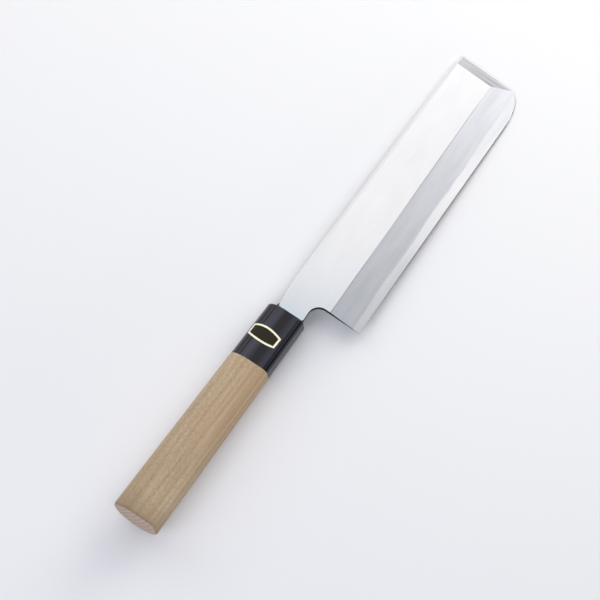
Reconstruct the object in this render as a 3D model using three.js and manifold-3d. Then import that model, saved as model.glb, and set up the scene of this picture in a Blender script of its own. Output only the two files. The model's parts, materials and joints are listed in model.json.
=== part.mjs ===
// Usuba: a single-bevel vegetable knife with a square tip, lying omote side up on a table.
// Millimetres. The knife is drawn about its handle: +X runs from butt to tip, +Y is the spine side,
// +Z is the omote (front) side, and the origin is the middle of the ferrule's mouth.

import * as THREE from 'three';
import { mergeVertices } from 'three/addons/utils/BufferGeometryUtils.js';
import Module from 'manifold-3d';

// Blade outline
const BLADE_LENGTH = 164.8; // ferrule mouth to tip, along the spine
const BLADE_HEIGHT = 42.2; // spine to edge, at the heel
const SPINE_OFFSET = 8; // spine above the handle axis, where the neck meets it
const SPINE_RISE_DEG = 0.2; // the spine climbs away from the handle axis
const HEEL_SETBACK = 13.55; // ferrule mouth to heel
const EDGE_TAPER_DEG = 1.2; // the edge climbs to the spine towards the tip
const TIP_LEAN_DEG = 2.2; // the square tip leans back towards the edge
const TIP_CORNER_RUN = 20; // the tip's corner starts to curve this far along the edge
const TIP_CORNER_RISE = 9.3; // and ends this far up the tip
const HEEL_RADIUS = 0.6;
const CHOIL_RADIUS = 6;
const NECK_FAIRING = 22; // where the neck's curve reaches the spine line
const MACHI_GAP = 2; // shoulders of the neck ahead of the ferrule
const MACHI_STEP_SPINE = 1.1;
const MACHI_STEP_EDGE = 2.9;
const NECK_FULLNESS = 0.7; // how soon the neck's curve swells to the spine
const NECK_WAIST = 0.5; // the neck's lower side rises this much to the choil

// Blade section
const BLADE_THICKNESS = 3;
const KIREHA_WIDTH = 17.75; // the ground bevel, shinogi line to edge
const ITOBA_WIDTH = 0.5; // the fine second bevel along the very edge
const ITOBA_HEIGHT = 0.3;
const EDGE_LAND = 0.05;
const FACET_RUN = 5.2; // bevel across the square tip
const TIP_LAND = 1.4; // thickness left at the very end
const SPINE_EASE_WIDTH = 1.5;
const SPINE_EASE_DROP = 0.4;

// Hollow back and hard-steel layer
const HOLLOW_DEPTH = 0.3;
const HOLLOW_RIM = 1.6;
const HOLLOW_RUNOUT = 8; // the higher, the more suddenly the hollow ends at heel and tip
const HAGANE_COVER = 0.57; // hard steel left over the deepest part of the hollow
const HAGANE_GAIN = 0.23; // extra steel at the tip
const WELD_WAVE = 0.04; // the hammered weld line wanders by this much
const WELD_WAVE_LENGTH = 52;
const WELD_WAVE_START = 22;
const WELD_RIPPLE = 0.02; // finer wandering on top of it
const WELD_RIPPLE_LENGTH = 17;
const HAGANE_SCARF = 4; // the steel starts this far ahead of the machi
const WELD_GAP = 0.02;

// Handle
const HANDLE_LENGTH = 127;
const FRONT_WIDTH = 21.5;
const FRONT_THICKNESS = 18;
const BUTT_WIDTH = 25.5;
const BUTT_THICKNESS = 21.2;
const BUTT_EASE = 1.6;

// The grip's soft ridge, in shares of its half width and half thickness
const RIDGE_TOP = new THREE.Vector2(-0.62, 1.01);
const RIDGE_CORNER = new THREE.Vector2(-0.93, 1.02);
const RIDGE_SIDE = new THREE.Vector2(-0.95, 0.5);

// Ferrule, and what it holds
const FERRULE_LENGTH = 31.7;
const FERRULE_EASE = 1;
const FERRULE_WALL = 2; // thinnest horn round the tenon
const FERRULE_FRONT = 9.7; // horn ahead of the tenon
const TANG_SIDE_COVER = 1.9; // wood beside the tang in the tenon
const TANG_END_COVER = 36; // wood behind the tang's end
const TANG_END_WIDTH = 5;
const TANG_END_THICKNESS = 1.8;
const SLOT_MARGIN = 0.9; // room for the seal round the tang
const SEAL_DEPTH = 3;
const SEAL_RECESS = 0.2;
const SOCKET_CLEARANCE = 0.3;
const JOINT_GAP = 0.05;

// Label
const LABEL_WIDTH = 16.4;
const LABEL_HEIGHT = 8.5; // at its middle
const LABEL_BOW = 1.4; // how far its front and rear edges bow out
const LABEL_THICKNESS = 0.2;
const LABEL_LEAN_DEG = 13.6; // it faces this far round to the spine side
const LABEL_TURN_DEG = -2.4; // it sits a little askew
const LABEL_BEHIND_MOUTH = 16.8; // ferrule mouth to its middle

// How the knife settles on a table: its belly rolls a little, until the tip lies along it.
const REST_ROLL_DEG = 0.1;

// Mesh fineness
const ARC_STEPS = 14;
const SECTION_STEPS = 16;
const EASE_STEPS = 4;
const HOLLOW_STEPS_ALONG = 24;
const HOLLOW_STEPS_ACROSS = 10;
const WELD_STEPS = 64;
const BORE_SIDES = 48;

const ROUND_LIMIT = 0.6; // most of a side that one rounded corner may use up
const OVERSIZE = 2; // how far cutters run past what they cut
const GRIND_BLOCK = 600;
const LEVEL_STEPS = 30;

// Sizes that follow from the ones above
const backZ = -BLADE_THICKNESS / 2;
const frontZ = BLADE_THICKNESS / 2;
const spineSlope = Math.tan(THREE.MathUtils.degToRad(SPINE_RISE_DEG));
const edgeSlope = Math.tan(THREE.MathUtils.degToRad(EDGE_TAPER_DEG));
const tipSlope = Math.tan(THREE.MathUtils.degToRad(TIP_LEAN_DEG));
const heelY = SPINE_OFFSET - BLADE_HEIGHT;
const tenonRadius = FRONT_THICKNESS / 2 - FERRULE_WALL;
const tenonFrontX = -FERRULE_FRONT - JOINT_GAP;
const tangHalfWidth = tenonRadius - TANG_SIDE_COVER;
const tangEndX = TANG_END_COVER - HANDLE_LENGTH;
const tangThickness = BLADE_THICKNESS - WELD_GAP;
const hardSteel = HOLLOW_DEPTH + HAGANE_COVER;
const scarfX = MACHI_GAP + HAGANE_SCARF;

const wasm = await Module();
wasm.setup();

/** A closed three.js geometry as a solid that can be joined and cut. */
function solidOf(geometry) {
  const bare = geometry.clone();
  bare.deleteAttribute('normal');
  bare.deleteAttribute('uv');
  const merged = mergeVertices(bare);
  return new wasm.Manifold(
    new wasm.Mesh({
      numProp: 3,
      vertProperties: new Float32Array(merged.attributes.position.array),
      triVerts: new Uint32Array(merged.index.array),
    }),
  );
}

/** A solid as a named mesh with its own material. */
function pieceOf(name, solid, finish) {
  const { vertProperties, triVerts } = solid.getMesh();
  const geometry = new THREE.BufferGeometry();
  geometry.setAttribute('position', new THREE.BufferAttribute(vertProperties, 3));
  geometry.setIndex(new THREE.BufferAttribute(triVerts, 1));
  geometry.computeVertexNormals();
  const mesh = new THREE.Mesh(geometry, new THREE.MeshStandardMaterial(finish));
  mesh.name = name;
  return mesh;
}

/** Grinds away everything on the side of a plane that its normal points to. */
function grind(solid, point, normal) {
  const facing = normal.clone().normalize();
  const block = new THREE.BoxGeometry(GRIND_BLOCK, GRIND_BLOCK, GRIND_BLOCK);
  block.translate(0, 0, GRIND_BLOCK / 2);
  block.applyQuaternion(new THREE.Quaternion().setFromUnitVectors(new THREE.Vector3(0, 0, 1), facing));
  block.translate(point.x, point.y, point.z);
  return solid.subtract(solidOf(block));
}

/** An open outline through corners, each sharp, rounded by a radius or drawn out by a run and a rise. */
function roundedOutline(corners) {
  const shape = new THREE.Shape();
  corners.forEach((corner, index) => {
    const here = new THREE.Vector2(corner.x, corner.y);
    const before = corners.at(index - 1);
    const after = corners[(index + 1) % corners.length];
    const back = new THREE.Vector2(before.x, before.y).sub(here);
    const ahead = new THREE.Vector2(after.x, after.y).sub(here);
    if (corner.run) {
      const start = here.clone().addScaledVector(back.normalize(), corner.run);
      const end = here.clone().addScaledVector(ahead.normalize(), corner.rise);
      shape.lineTo(start.x, start.y);
      shape.quadraticCurveTo(here.x, here.y, end.x, end.y);
      return;
    }
    const room = Math.min(back.length(), ahead.length()) * ROUND_LIMIT;
    const halfAngle = Math.abs(back.angleTo(ahead)) / 2;
    const reach = Math.min((corner.radius ?? 0) / Math.tan(halfAngle), room);
    const start = here.clone().addScaledVector(back.normalize(), reach);
    const end = here.clone().addScaledVector(ahead.normalize(), reach);
    if (index === 0) shape.moveTo(start.x, start.y);
    else shape.lineTo(start.x, start.y);
    if (reach > 0) {
      const radius = reach * Math.tan(halfAngle);
      const inward = back.clone().add(ahead).normalize();
      const centre = here.clone().addScaledVector(inward, radius / Math.sin(halfAngle));
      const clockwise = back.cross(ahead) > 0;
      const from = start.clone().sub(centre).angle();
      const to = end.clone().sub(centre).angle();
      shape.absarc(centre.x, centre.y, radius, from, to, clockwise);
    }
  });
  return shape;
}

/** A closed skin through rings of equal point counts, in order of rising x, capped flat at both ends. */
function loft(rings) {
  const count = rings[0].length;
  const last = (rings.length - 1) * count;
  const indices = [];
  for (let row = 0; row < last; row += count) {
    for (let i = 0; i < count; i += 1) {
      const a = row + i;
      const b = row + ((i + 1) % count);
      indices.push(a, b, b + count, a, b + count, a + count);
    }
  }
  const outline = rings[0].map((point) => new THREE.Vector2(point.y, point.z));
  for (const [a, b, c] of THREE.ShapeUtils.triangulateShape(outline, [])) {
    indices.push(c, b, a, last + a, last + b, last + c);
  }
  const geometry = new THREE.BufferGeometry().setFromPoints(rings.flat());
  geometry.setIndex(indices);
  return solidOf(geometry);
}

/** A four-sided bar that tapers along x between two centred sections. */
function taperedBar(rear, front) {
  const ring = ({ x, halfWidth, halfThickness }) => [
    new THREE.Vector3(x, halfWidth, -halfThickness),
    new THREE.Vector3(x, halfWidth, halfThickness),
    new THREE.Vector3(x, -halfWidth, halfThickness),
    new THREE.Vector3(x, -halfWidth, -halfThickness),
  ];
  return loft([ring(rear), ring(front)]);
}

/** Share of the way from the ferrule's mouth to the butt. */
function alongHandle(x) {
  return -x / HANDLE_LENGTH;
}

/** Half width and half thickness of the grip at a station. */
function gripSize(x) {
  return {
    halfWidth: THREE.MathUtils.lerp(FRONT_WIDTH, BUTT_WIDTH, alongHandle(x)) / 2,
    halfThickness: THREE.MathUtils.lerp(FRONT_THICKNESS, BUTT_THICKNESS, alongHandle(x)) / 2,
  };
}

/** One D-shaped ring of the grip: an oval drawn out to a soft ridge on the edge side of the omote. */
function gripRing(x, inset = 0) {
  const size = gripSize(x);
  const a = size.halfWidth - inset;
  const b = size.halfThickness - inset;
  const section = new THREE.Shape();
  section.absellipse(0, 0, a, b, Math.PI, Math.PI * 2.5);
  section.quadraticCurveTo((RIDGE_TOP.x / 2) * a, b, RIDGE_TOP.x * a, RIDGE_TOP.y * b);
  section.quadraticCurveTo(RIDGE_CORNER.x * a, RIDGE_CORNER.y * b, RIDGE_SIDE.x * a, RIDGE_SIDE.y * b);
  section.quadraticCurveTo(-a, (RIDGE_SIDE.y / 2) * b, -a, 0);
  const points = section.getPoints(SECTION_STEPS);
  points.pop();
  return points.map((point) => new THREE.Vector3(x, point.x, point.y));
}

/** Stations and insets of a quarter-round that eases an end: direction 1 at the front, -1 at the rear. */
function easedEnd(endX, ease, direction) {
  return Array.from({ length: EASE_STEPS + 1 }, (_, step) => {
    const angle = (step / EASE_STEPS) * (Math.PI / 2);
    return { x: endX - direction * ease * (1 - Math.sin(angle)), inset: ease * (1 - Math.cos(angle)) };
  });
}

/** The tang, or the space it needs when it is given a clearance. */
function tangBar(rearX, frontX, clearance) {
  const at = (x) => {
    const share = (x - MACHI_GAP) / (tangEndX - MACHI_GAP);
    return {
      x,
      halfWidth: THREE.MathUtils.lerp(tangHalfWidth, TANG_END_WIDTH / 2, share) + clearance,
      halfThickness: THREE.MathUtils.lerp(tangThickness, TANG_END_THICKNESS, share) / 2 + clearance,
    };
  };
  return taperedBar(at(rearX), at(frontX));
}

/** Spine height at a station. */
function spineY(x) {
  return SPINE_OFFSET + (x - NECK_FAIRING) * spineSlope;
}

/** Edge height at a station, before the tip's corner is rounded. */
function edgeY(x) {
  return heelY + (x - HEEL_SETBACK) * edgeSlope;
}

/** The end of the tip at a height across the blade. */
function tipX(y) {
  return BLADE_LENGTH + (y - spineY(BLADE_LENGTH)) * tipSlope;
}

/** Outline of blade and neck, seen on the omote. */
function bladeOutline() {
  const neckTop = tangHalfWidth + MACHI_STEP_SPINE;
  const neckBottom = -tangHalfWidth - MACHI_STEP_EDGE;
  const tipCornerX = tipX(edgeY(BLADE_LENGTH));
  const outline = roundedOutline([
    { x: MACHI_GAP, y: neckTop },
    { x: MACHI_GAP, y: neckBottom },
    { x: HEEL_SETBACK, y: neckBottom + NECK_WAIST, radius: CHOIL_RADIUS },
    { x: HEEL_SETBACK, y: heelY, radius: HEEL_RADIUS },
    { x: tipCornerX, y: edgeY(tipCornerX), run: TIP_CORNER_RUN, rise: TIP_CORNER_RISE },
    { x: BLADE_LENGTH, y: spineY(BLADE_LENGTH) },
    { x: NECK_FAIRING, y: SPINE_OFFSET },
  ]);
  const shoulderY = THREE.MathUtils.lerp(neckTop, SPINE_OFFSET, NECK_FULLNESS);
  outline.quadraticCurveTo((MACHI_GAP + NECK_FAIRING) / 2, shoulderY, MACHI_GAP, neckTop);
  return outline;
}

/** The shallow hollow of the back, deepest in the middle and running out to a flat rim. */
function hollowCutter() {
  const block = new THREE.BoxGeometry(2, 2, 2, HOLLOW_STEPS_ALONG, HOLLOW_STEPS_ACROSS, 1);
  const position = block.attributes.position;
  for (let i = 0; i < position.count; i += 1) {
    const u = position.getX(i);
    const v = position.getY(i);
    const x = THREE.MathUtils.mapLinear(u, -1, 1, HEEL_SETBACK + HOLLOW_RIM, tipX(heelY) - HOLLOW_RIM);
    const y = THREE.MathUtils.mapLinear(v, -1, 1, edgeY(x) + HOLLOW_RIM, spineY(x) - HOLLOW_RIM);
    const depth = HOLLOW_DEPTH * (1 - v ** 2) * (1 - u ** HOLLOW_RUNOUT);
    position.setXYZ(i, x, y, position.getZ(i) > 0 ? backZ + depth : backZ - OVERSIZE);
  }
  return solidOf(block);
}

/** The side of the weld that the hard steel lies on, grown by a gap. */
function weldBlock(gap) {
  const block = new THREE.BoxGeometry(2, 2, 2, WELD_STEPS, 1, 1);
  const position = block.attributes.position;
  for (let i = 0; i < position.count; i += 1) {
    const x = THREE.MathUtils.mapLinear(position.getX(i), -1, 1, scarfX - gap, BLADE_LENGTH + OVERSIZE);
    const wave = WELD_WAVE * Math.sin((2 * Math.PI * (x - WELD_WAVE_START)) / WELD_WAVE_LENGTH);
    const ripple = WELD_RIPPLE * Math.sin((2 * Math.PI * x) / WELD_RIPPLE_LENGTH);
    const top = backZ + hardSteel + HAGANE_GAIN * (x / BLADE_LENGTH) + wave + ripple + gap;
    position.setXYZ(i, x, position.getY(i) * GRIND_BLOCK, position.getZ(i) > 0 ? top : backZ - OVERSIZE);
  }
  return solidOf(block);
}

/** The forged blank, ground on both sides. */
function groundBlade() {
  const plate = new THREE.ExtrudeGeometry(bladeOutline(), {
    depth: BLADE_THICKNESS,
    bevelEnabled: false,
    curveSegments: ARC_STEPS,
  });
  plate.translate(0, 0, backZ);
  let blade = solidOf(plate);

  const edgeAcross = new THREE.Vector3(-edgeSlope, 1, 0).normalize();
  const edgePoint = new THREE.Vector3(HEEL_SETBACK, heelY, backZ + EDGE_LAND);
  const itoba = edgeAcross.clone().multiplyScalar(EDGE_LAND - ITOBA_HEIGHT).setZ(ITOBA_WIDTH);
  blade = grind(blade, edgePoint, itoba);
  const shinogi = edgePoint.clone().addScaledVector(edgeAcross, KIREHA_WIDTH).setZ(frontZ);
  const kireha = edgeAcross.clone().multiplyScalar(ITOBA_HEIGHT - BLADE_THICKNESS);
  blade = grind(blade, shinogi, kireha.setZ(KIREHA_WIDTH - ITOBA_WIDTH));

  const facetStart = new THREE.Vector3(BLADE_LENGTH - FACET_RUN, spineY(BLADE_LENGTH), frontZ);
  const facetDrop = BLADE_THICKNESS - TIP_LAND;
  const facet = new THREE.Vector3(1, -tipSlope, 0).normalize().multiplyScalar(facetDrop).setZ(FACET_RUN);
  blade = grind(blade, facetStart, facet);

  const spineAcross = new THREE.Vector3(-spineSlope, 1, 0).normalize();
  const spineEase = spineAcross.clone().multiplyScalar(SPINE_EASE_DROP);
  const spineStart = new THREE.Vector3(NECK_FAIRING, SPINE_OFFSET - SPINE_EASE_WIDTH, frontZ);
  blade = grind(blade, spineStart, spineEase.clone().setZ(SPINE_EASE_WIDTH));
  const facetCorner = facetStart.clone().addScaledVector(spineAcross, -SPINE_EASE_WIDTH);
  blade = grind(blade, facetCorner, facet.setLength(SPINE_EASE_WIDTH).add(spineEase));
  return blade.subtract(hollowCutter());
}

/** Soft-iron body with its tang, and the hard-steel layer welded under it. */
function makeBlade() {
  const blade = groundBlade();
  const tang = tangBar(tangEndX, MACHI_GAP + HAGANE_SCARF / 2, 0);
  const jigane = blade.subtract(weldBlock(WELD_GAP)).add(tang);
  const hagane = blade.intersect(weldBlock(0));
  const group = new THREE.Group();
  group.add(
    pieceOf('jigane_blade', jigane, { color: 0xd9dbde, roughness: 0.35, metalness: 1 }),
    pieceOf('hagane_layer', hagane, { color: 0xe6e7ea, roughness: 0.2, metalness: 1 }),
  );
  return group;
}

/** A cylinder along x between two stations. */
function roundBar(radius, rearX, frontX) {
  const bar = new THREE.CylinderGeometry(radius, radius, frontX - rearX, BORE_SIDES);
  bar.rotateZ(-Math.PI / 2);
  bar.translate((rearX + frontX) / 2, 0, 0);
  return solidOf(bar);
}

/** Wooden grip with its tenon and the burnt-in socket for the tang. */
function makeGrip() {
  const shoulderX = -FERRULE_LENGTH - JOINT_GAP;
  const butt = easedEnd(-HANDLE_LENGTH, BUTT_EASE, -1).reverse();
  const rings = [...butt, { x: shoulderX, inset: 0 }].map(({ x, inset }) => gripRing(x, inset));
  const tenon = roundBar(tenonRadius - JOINT_GAP, shoulderX - OVERSIZE, tenonFrontX);
  const socket = tangBar(tangEndX - SOCKET_CLEARANCE, tenonFrontX + OVERSIZE, SOCKET_CLEARANCE);
  const grip = loft(rings).add(tenon).subtract(socket);
  return pieceOf('wood_handle', grip, { color: 0xb89f80, roughness: 0.7, metalness: 0 });
}

/** The slot through the ferrule's front wall, or the seal's outside when it is drawn in by a gap. */
function mouthSlot(rearX, frontX, inset) {
  const section = {
    halfWidth: tangHalfWidth + SLOT_MARGIN - inset,
    halfThickness: tangThickness / 2 + SLOT_MARGIN - inset,
  };
  return taperedBar({ x: rearX, ...section }, { x: frontX, ...section });
}

/** Horn ferrule, bored for the tenon from behind and slotted for the tang in front. */
function makeFerrule() {
  const front = easedEnd(0, FERRULE_EASE, 1);
  const rings = [{ x: -FERRULE_LENGTH, inset: 0 }, ...front].map(({ x, inset }) => gripRing(x, inset));
  const bore = roundBar(tenonRadius, -FERRULE_LENGTH - OVERSIZE, -FERRULE_FRONT);
  const slot = mouthSlot(-FERRULE_FRONT - OVERSIZE, OVERSIZE, 0);
  const ferrule = loft(rings).subtract(bore).subtract(slot);
  return pieceOf('horn_ferrule', ferrule, { color: 0x2b2a2c, roughness: 0.3, metalness: 0 });
}

/** Resin seal in the ferrule's mouth, round the tang. */
function makeSeal() {
  const rearX = -SEAL_RECESS - SEAL_DEPTH;
  const plug = mouthSlot(rearX, -SEAL_RECESS, JOINT_GAP);
  const seal = plug.subtract(tangBar(rearX - OVERSIZE, OVERSIZE, JOINT_GAP));
  return pieceOf('tang_seal', seal, { color: 0x1d1b1a, roughness: 0.6, metalness: 0 });
}

/** Thin label with bowed edges, bent round the ferrule. */
function makeLabel() {
  const halfWidth = LABEL_WIDTH / 2;
  const halfEnd = LABEL_HEIGHT / 2 - LABEL_BOW;
  const bow = halfEnd + 2 * LABEL_BOW;
  const outline = new THREE.Shape();
  outline.moveTo(halfEnd, -halfWidth);
  outline.quadraticCurveTo(bow, 0, halfEnd, halfWidth);
  outline.lineTo(-halfEnd, halfWidth);
  outline.quadraticCurveTo(-bow, 0, -halfEnd, -halfWidth);
  const stamp = new THREE.ExtrudeGeometry(outline, {
    depth: FRONT_WIDTH,
    bevelEnabled: false,
    curveSegments: ARC_STEPS,
  });
  stamp.rotateZ(THREE.MathUtils.degToRad(LABEL_TURN_DEG));
  stamp.rotateX(-THREE.MathUtils.degToRad(LABEL_LEAN_DEG));
  stamp.translate(-LABEL_BEHIND_MOUTH, 0, 0);
  const jacket = (grown) => loft([-FERRULE_LENGTH, 0].map((x) => gripRing(x, -grown)));
  const skin = jacket(JOINT_GAP + LABEL_THICKNESS).subtract(jacket(JOINT_GAP));
  const label = skin.intersect(solidOf(stamp));
  return pieceOf('foil_label', label, { color: 0xd9c894, roughness: 0.4, metalness: 0.3 });
}

/** Lowest point of a group in its present pose. */
function lowest(group) {
  group.updateWorldMatrix(true, true);
  return new THREE.Box3().setFromObject(group, true).min.z;
}

/** Pitches the knife nose down until blade and handle both touch the table. */
function layDown(knife, blade, handle) {
  let level = 0;
  let steep = Math.atan2(FRONT_THICKNESS, BLADE_LENGTH);
  knife.rotation.order = 'ZYX';
  knife.rotation.x = THREE.MathUtils.degToRad(REST_ROLL_DEG);
  for (let step = 0; step < LEVEL_STEPS; step += 1) {
    knife.rotation.y = (level + steep) / 2;
    if (lowest(blade) > lowest(handle)) level = knife.rotation.y;
    else steep = knife.rotation.y;
  }
  const box = new THREE.Box3().setFromObject(knife, true);
  const centre = box.getCenter(new THREE.Vector3());
  knife.position.set(-centre.x, -centre.y, -box.min.z);
}

const blade = makeBlade();
const handle = new THREE.Group();
handle.add(makeGrip(), makeFerrule(), makeSeal(), makeLabel());

const knife = new THREE.Group();
knife.add(blade, handle);
layDown(knife, blade, handle);

const usuba = new THREE.Group();
usuba.add(knife);

export default usuba;
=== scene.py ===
"""Looks for the usuba, a single-bevel vegetable knife that lies front side up on a pale table.

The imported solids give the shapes. This script refines the two layers of the blade, models a smooth
grip, ferrule and label in place of theirs, dresses every surface, and sets the table, light and camera.
Sizes are millimetres in the knife's own axes, from the middle of the ferrule's mouth:
+X runs from butt to tip, +Y to the spine and +Z to the front, the omote.
"""

import json
import logging
import math
from collections.abc import Callable, Iterable
from dataclasses import dataclass, field
from enum import Enum
from typing import Any

import bpy
from mathutils import Matrix, Vector

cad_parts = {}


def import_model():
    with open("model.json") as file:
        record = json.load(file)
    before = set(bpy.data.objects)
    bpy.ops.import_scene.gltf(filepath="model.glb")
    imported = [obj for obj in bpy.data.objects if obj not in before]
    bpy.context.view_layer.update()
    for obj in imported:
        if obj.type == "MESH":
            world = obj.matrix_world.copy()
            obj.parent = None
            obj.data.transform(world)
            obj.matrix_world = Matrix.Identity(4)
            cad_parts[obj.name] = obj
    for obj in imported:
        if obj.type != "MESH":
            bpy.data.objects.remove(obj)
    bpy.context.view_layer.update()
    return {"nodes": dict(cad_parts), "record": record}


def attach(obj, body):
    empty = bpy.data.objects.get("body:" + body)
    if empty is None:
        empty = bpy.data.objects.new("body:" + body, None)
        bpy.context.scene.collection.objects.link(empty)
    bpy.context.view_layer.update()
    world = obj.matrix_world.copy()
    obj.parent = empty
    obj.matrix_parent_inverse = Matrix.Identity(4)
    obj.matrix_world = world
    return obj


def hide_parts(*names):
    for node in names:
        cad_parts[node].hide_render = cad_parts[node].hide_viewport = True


MM = 0.001
BODY = "root"
FRAME_PX = 600  # the photograph's frame is square
SENSOR_MM = 36.0

# A wave texture repeats every 2 pi / 20 at scale 1.
WAVE_PERIOD = math.pi / 10

# Nearly all values of a noise texture lie between these.
NOISE_SPAN = (0.3, 0.7)

# Inputs of a MapRange node, in the order in which the finishes' rows give them.
RANGE = ("Value", "From Min", "From Max", "To Min", "To Max")

# Sockets of a colour Mix node, whose names repeat for each data type.
MIX_A, MIX_B, MIX_OUT = 6, 7, 2

Size = tuple[float, float, float]  # along, across and through the knife
Span = tuple[float, float]
Stops = tuple[tuple[float, str], ...]  # places and colours of a colour ramp
Tones = tuple[str, str]  # the dark and the light colour

log = logging.getLogger("usuba")


def linear(hex_colour: str) -> tuple[float, float, float, float]:
    """Turns an sRGB hex colour into the linear one that shaders take.

    Args:
        hex_colour: Six hex digits after a #.

    Returns:
        Linear red, green and blue, and an alpha of 1.
    """
    levels = [int(hex_colour[i : i + 2], 16) / 255 for i in (1, 3, 5)]
    red, green, blue = (v / 12.92 if v <= 0.04045 else ((v + 0.055) / 1.055) ** 2.4 for v in levels)
    return red, green, blue, 1.0


def per_mm(*sizes: float) -> tuple[float, ...]:
    """Turns sizes of a pattern in millimetres into repeats per millimetre."""
    return tuple(1 / size for size in sizes)


class KnifePose:
    """Where the knife's own axes lie in the part's frame."""

    def __init__(self, record: dict[str, Any], handle_length: float) -> None:
        """Reads the pose from the two faces that the record states as mounts.

        Args:
            record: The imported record.
            handle_length: Millimetres from the ferrule's mouth back to the butt.
        """
        mounts = {mount["name"]: mount for mount in record["mounts"]}
        along = -Vector(mounts["butt_face"]["axis"]).normalized()
        up = Vector(mounts["hira_face"]["axis"]).normalized()
        across = up.cross(along).normalized()
        up = along.cross(across)
        self.turn = Matrix((along, across, up)).transposed()
        self.origin = Vector(mounts["butt_face"]["pos_m"]) + along * handle_length * MM

    @property
    def matrix(self) -> Matrix:
        """From millimetres in the knife's axes to metres in the part's frame."""
        return Matrix.Translation(self.origin) @ self.turn.to_4x4() @ Matrix.Scale(MM, 4)


class Dressing:
    """A material in the making: its tree, its shader and the knife's own coordinates."""

    def __init__(self, name: str, roughness: float, pose: KnifePose) -> None:
        """Starts a material.

        Args:
            name: The real material's name.
            roughness: Its plain roughness.
            pose: The knife's pose.
        """
        self.material = bpy.data.materials.new(name)
        self.material.use_nodes = True
        self.tree = self.material.node_tree
        self.shader = self.tree.nodes["Principled BSDF"]
        self.wire(self.shader, {"Roughness": roughness})
        # Millimetres along the knife's own axes.
        self.place = self.add(
            "Mapping",
            {
                "Vector": self.add("TexCoord").outputs["Object"],
                "Location": pose.origin,
                "Rotation": pose.turn.to_euler("XYZ"),
                "Scale": (MM, MM, MM),
            },
            vector_type="TEXTURE",
        )

    def wire(self, node: bpy.types.Node, inputs: dict[str | int, Any]) -> None:
        """Gives a node its inputs.

        Args:
            node: The node.
            inputs: For each input by name or number, a socket to link from, a node to link from
                by its first output, or a value.
        """
        for name, value in inputs.items():
            if isinstance(value, bpy.types.Node):
                value = value.outputs[0]
            if isinstance(value, bpy.types.NodeSocket):
                self.tree.links.new(value, node.inputs[name])
            else:
                node.inputs[name].default_value = value

    def add(
        self,
        kind: str,
        inputs: dict[str | int, Any] | None = None,
        stops: Iterable[tuple[float, str]] = (),
        **settings: Any,
    ) -> bpy.types.Node:
        """Adds one node with its settings, values and links.

        Args:
            kind: The node's type after "ShaderNode".
            inputs: Its inputs, as for wire.
            stops: Places and hex colours of a colour ramp, in rising order.
            settings: Properties of the node itself.

        Returns:
            The new node.
        """
        node = self.tree.nodes.new("ShaderNode" + kind)
        for name, value in settings.items():
            setattr(node, name, value)
        self.wire(node, inputs or {})
        for index, (place, colour) in enumerate(stops):
            elements = node.color_ramp.elements
            if index == 0:
                elements.remove(elements[1])
            element = elements.new(place) if index else elements[0]
            element.position = place
            element.color = linear(colour)
        return node

    def feed(self, inputs: dict[str, Any], relief: bpy.types.Node, depth: float) -> None:
        """Gives the shader its patterns.

        Args:
            inputs: The shader's inputs, as for wire.
            relief: The pattern that stands out from the surface.
            depth: How far it does.
        """
        bump = self.add("Bump", {"Height": relief, "Strength": 1.0, "Distance": depth * MM})
        self.wire(self.shader, {**inputs, "Normal": bump})


@dataclass(frozen=True)
class Finish:
    """A surface's finish: what it is made of and how it was worked."""

    name: str
    roughness: float

    def dress(self, pose: KnifePose) -> bpy.types.Material:
        """Builds the finish's material.

        Args:
            pose: The knife's pose.

        Returns:
            The material.
        """
        look = Dressing(self.name, self.roughness, pose)
        self.draw(look)
        return look.material

    def draw(self, look: Dressing) -> None:
        """Draws the finish's patterns, which each kind of finish gives."""
        raise NotImplementedError(self.name)


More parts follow.
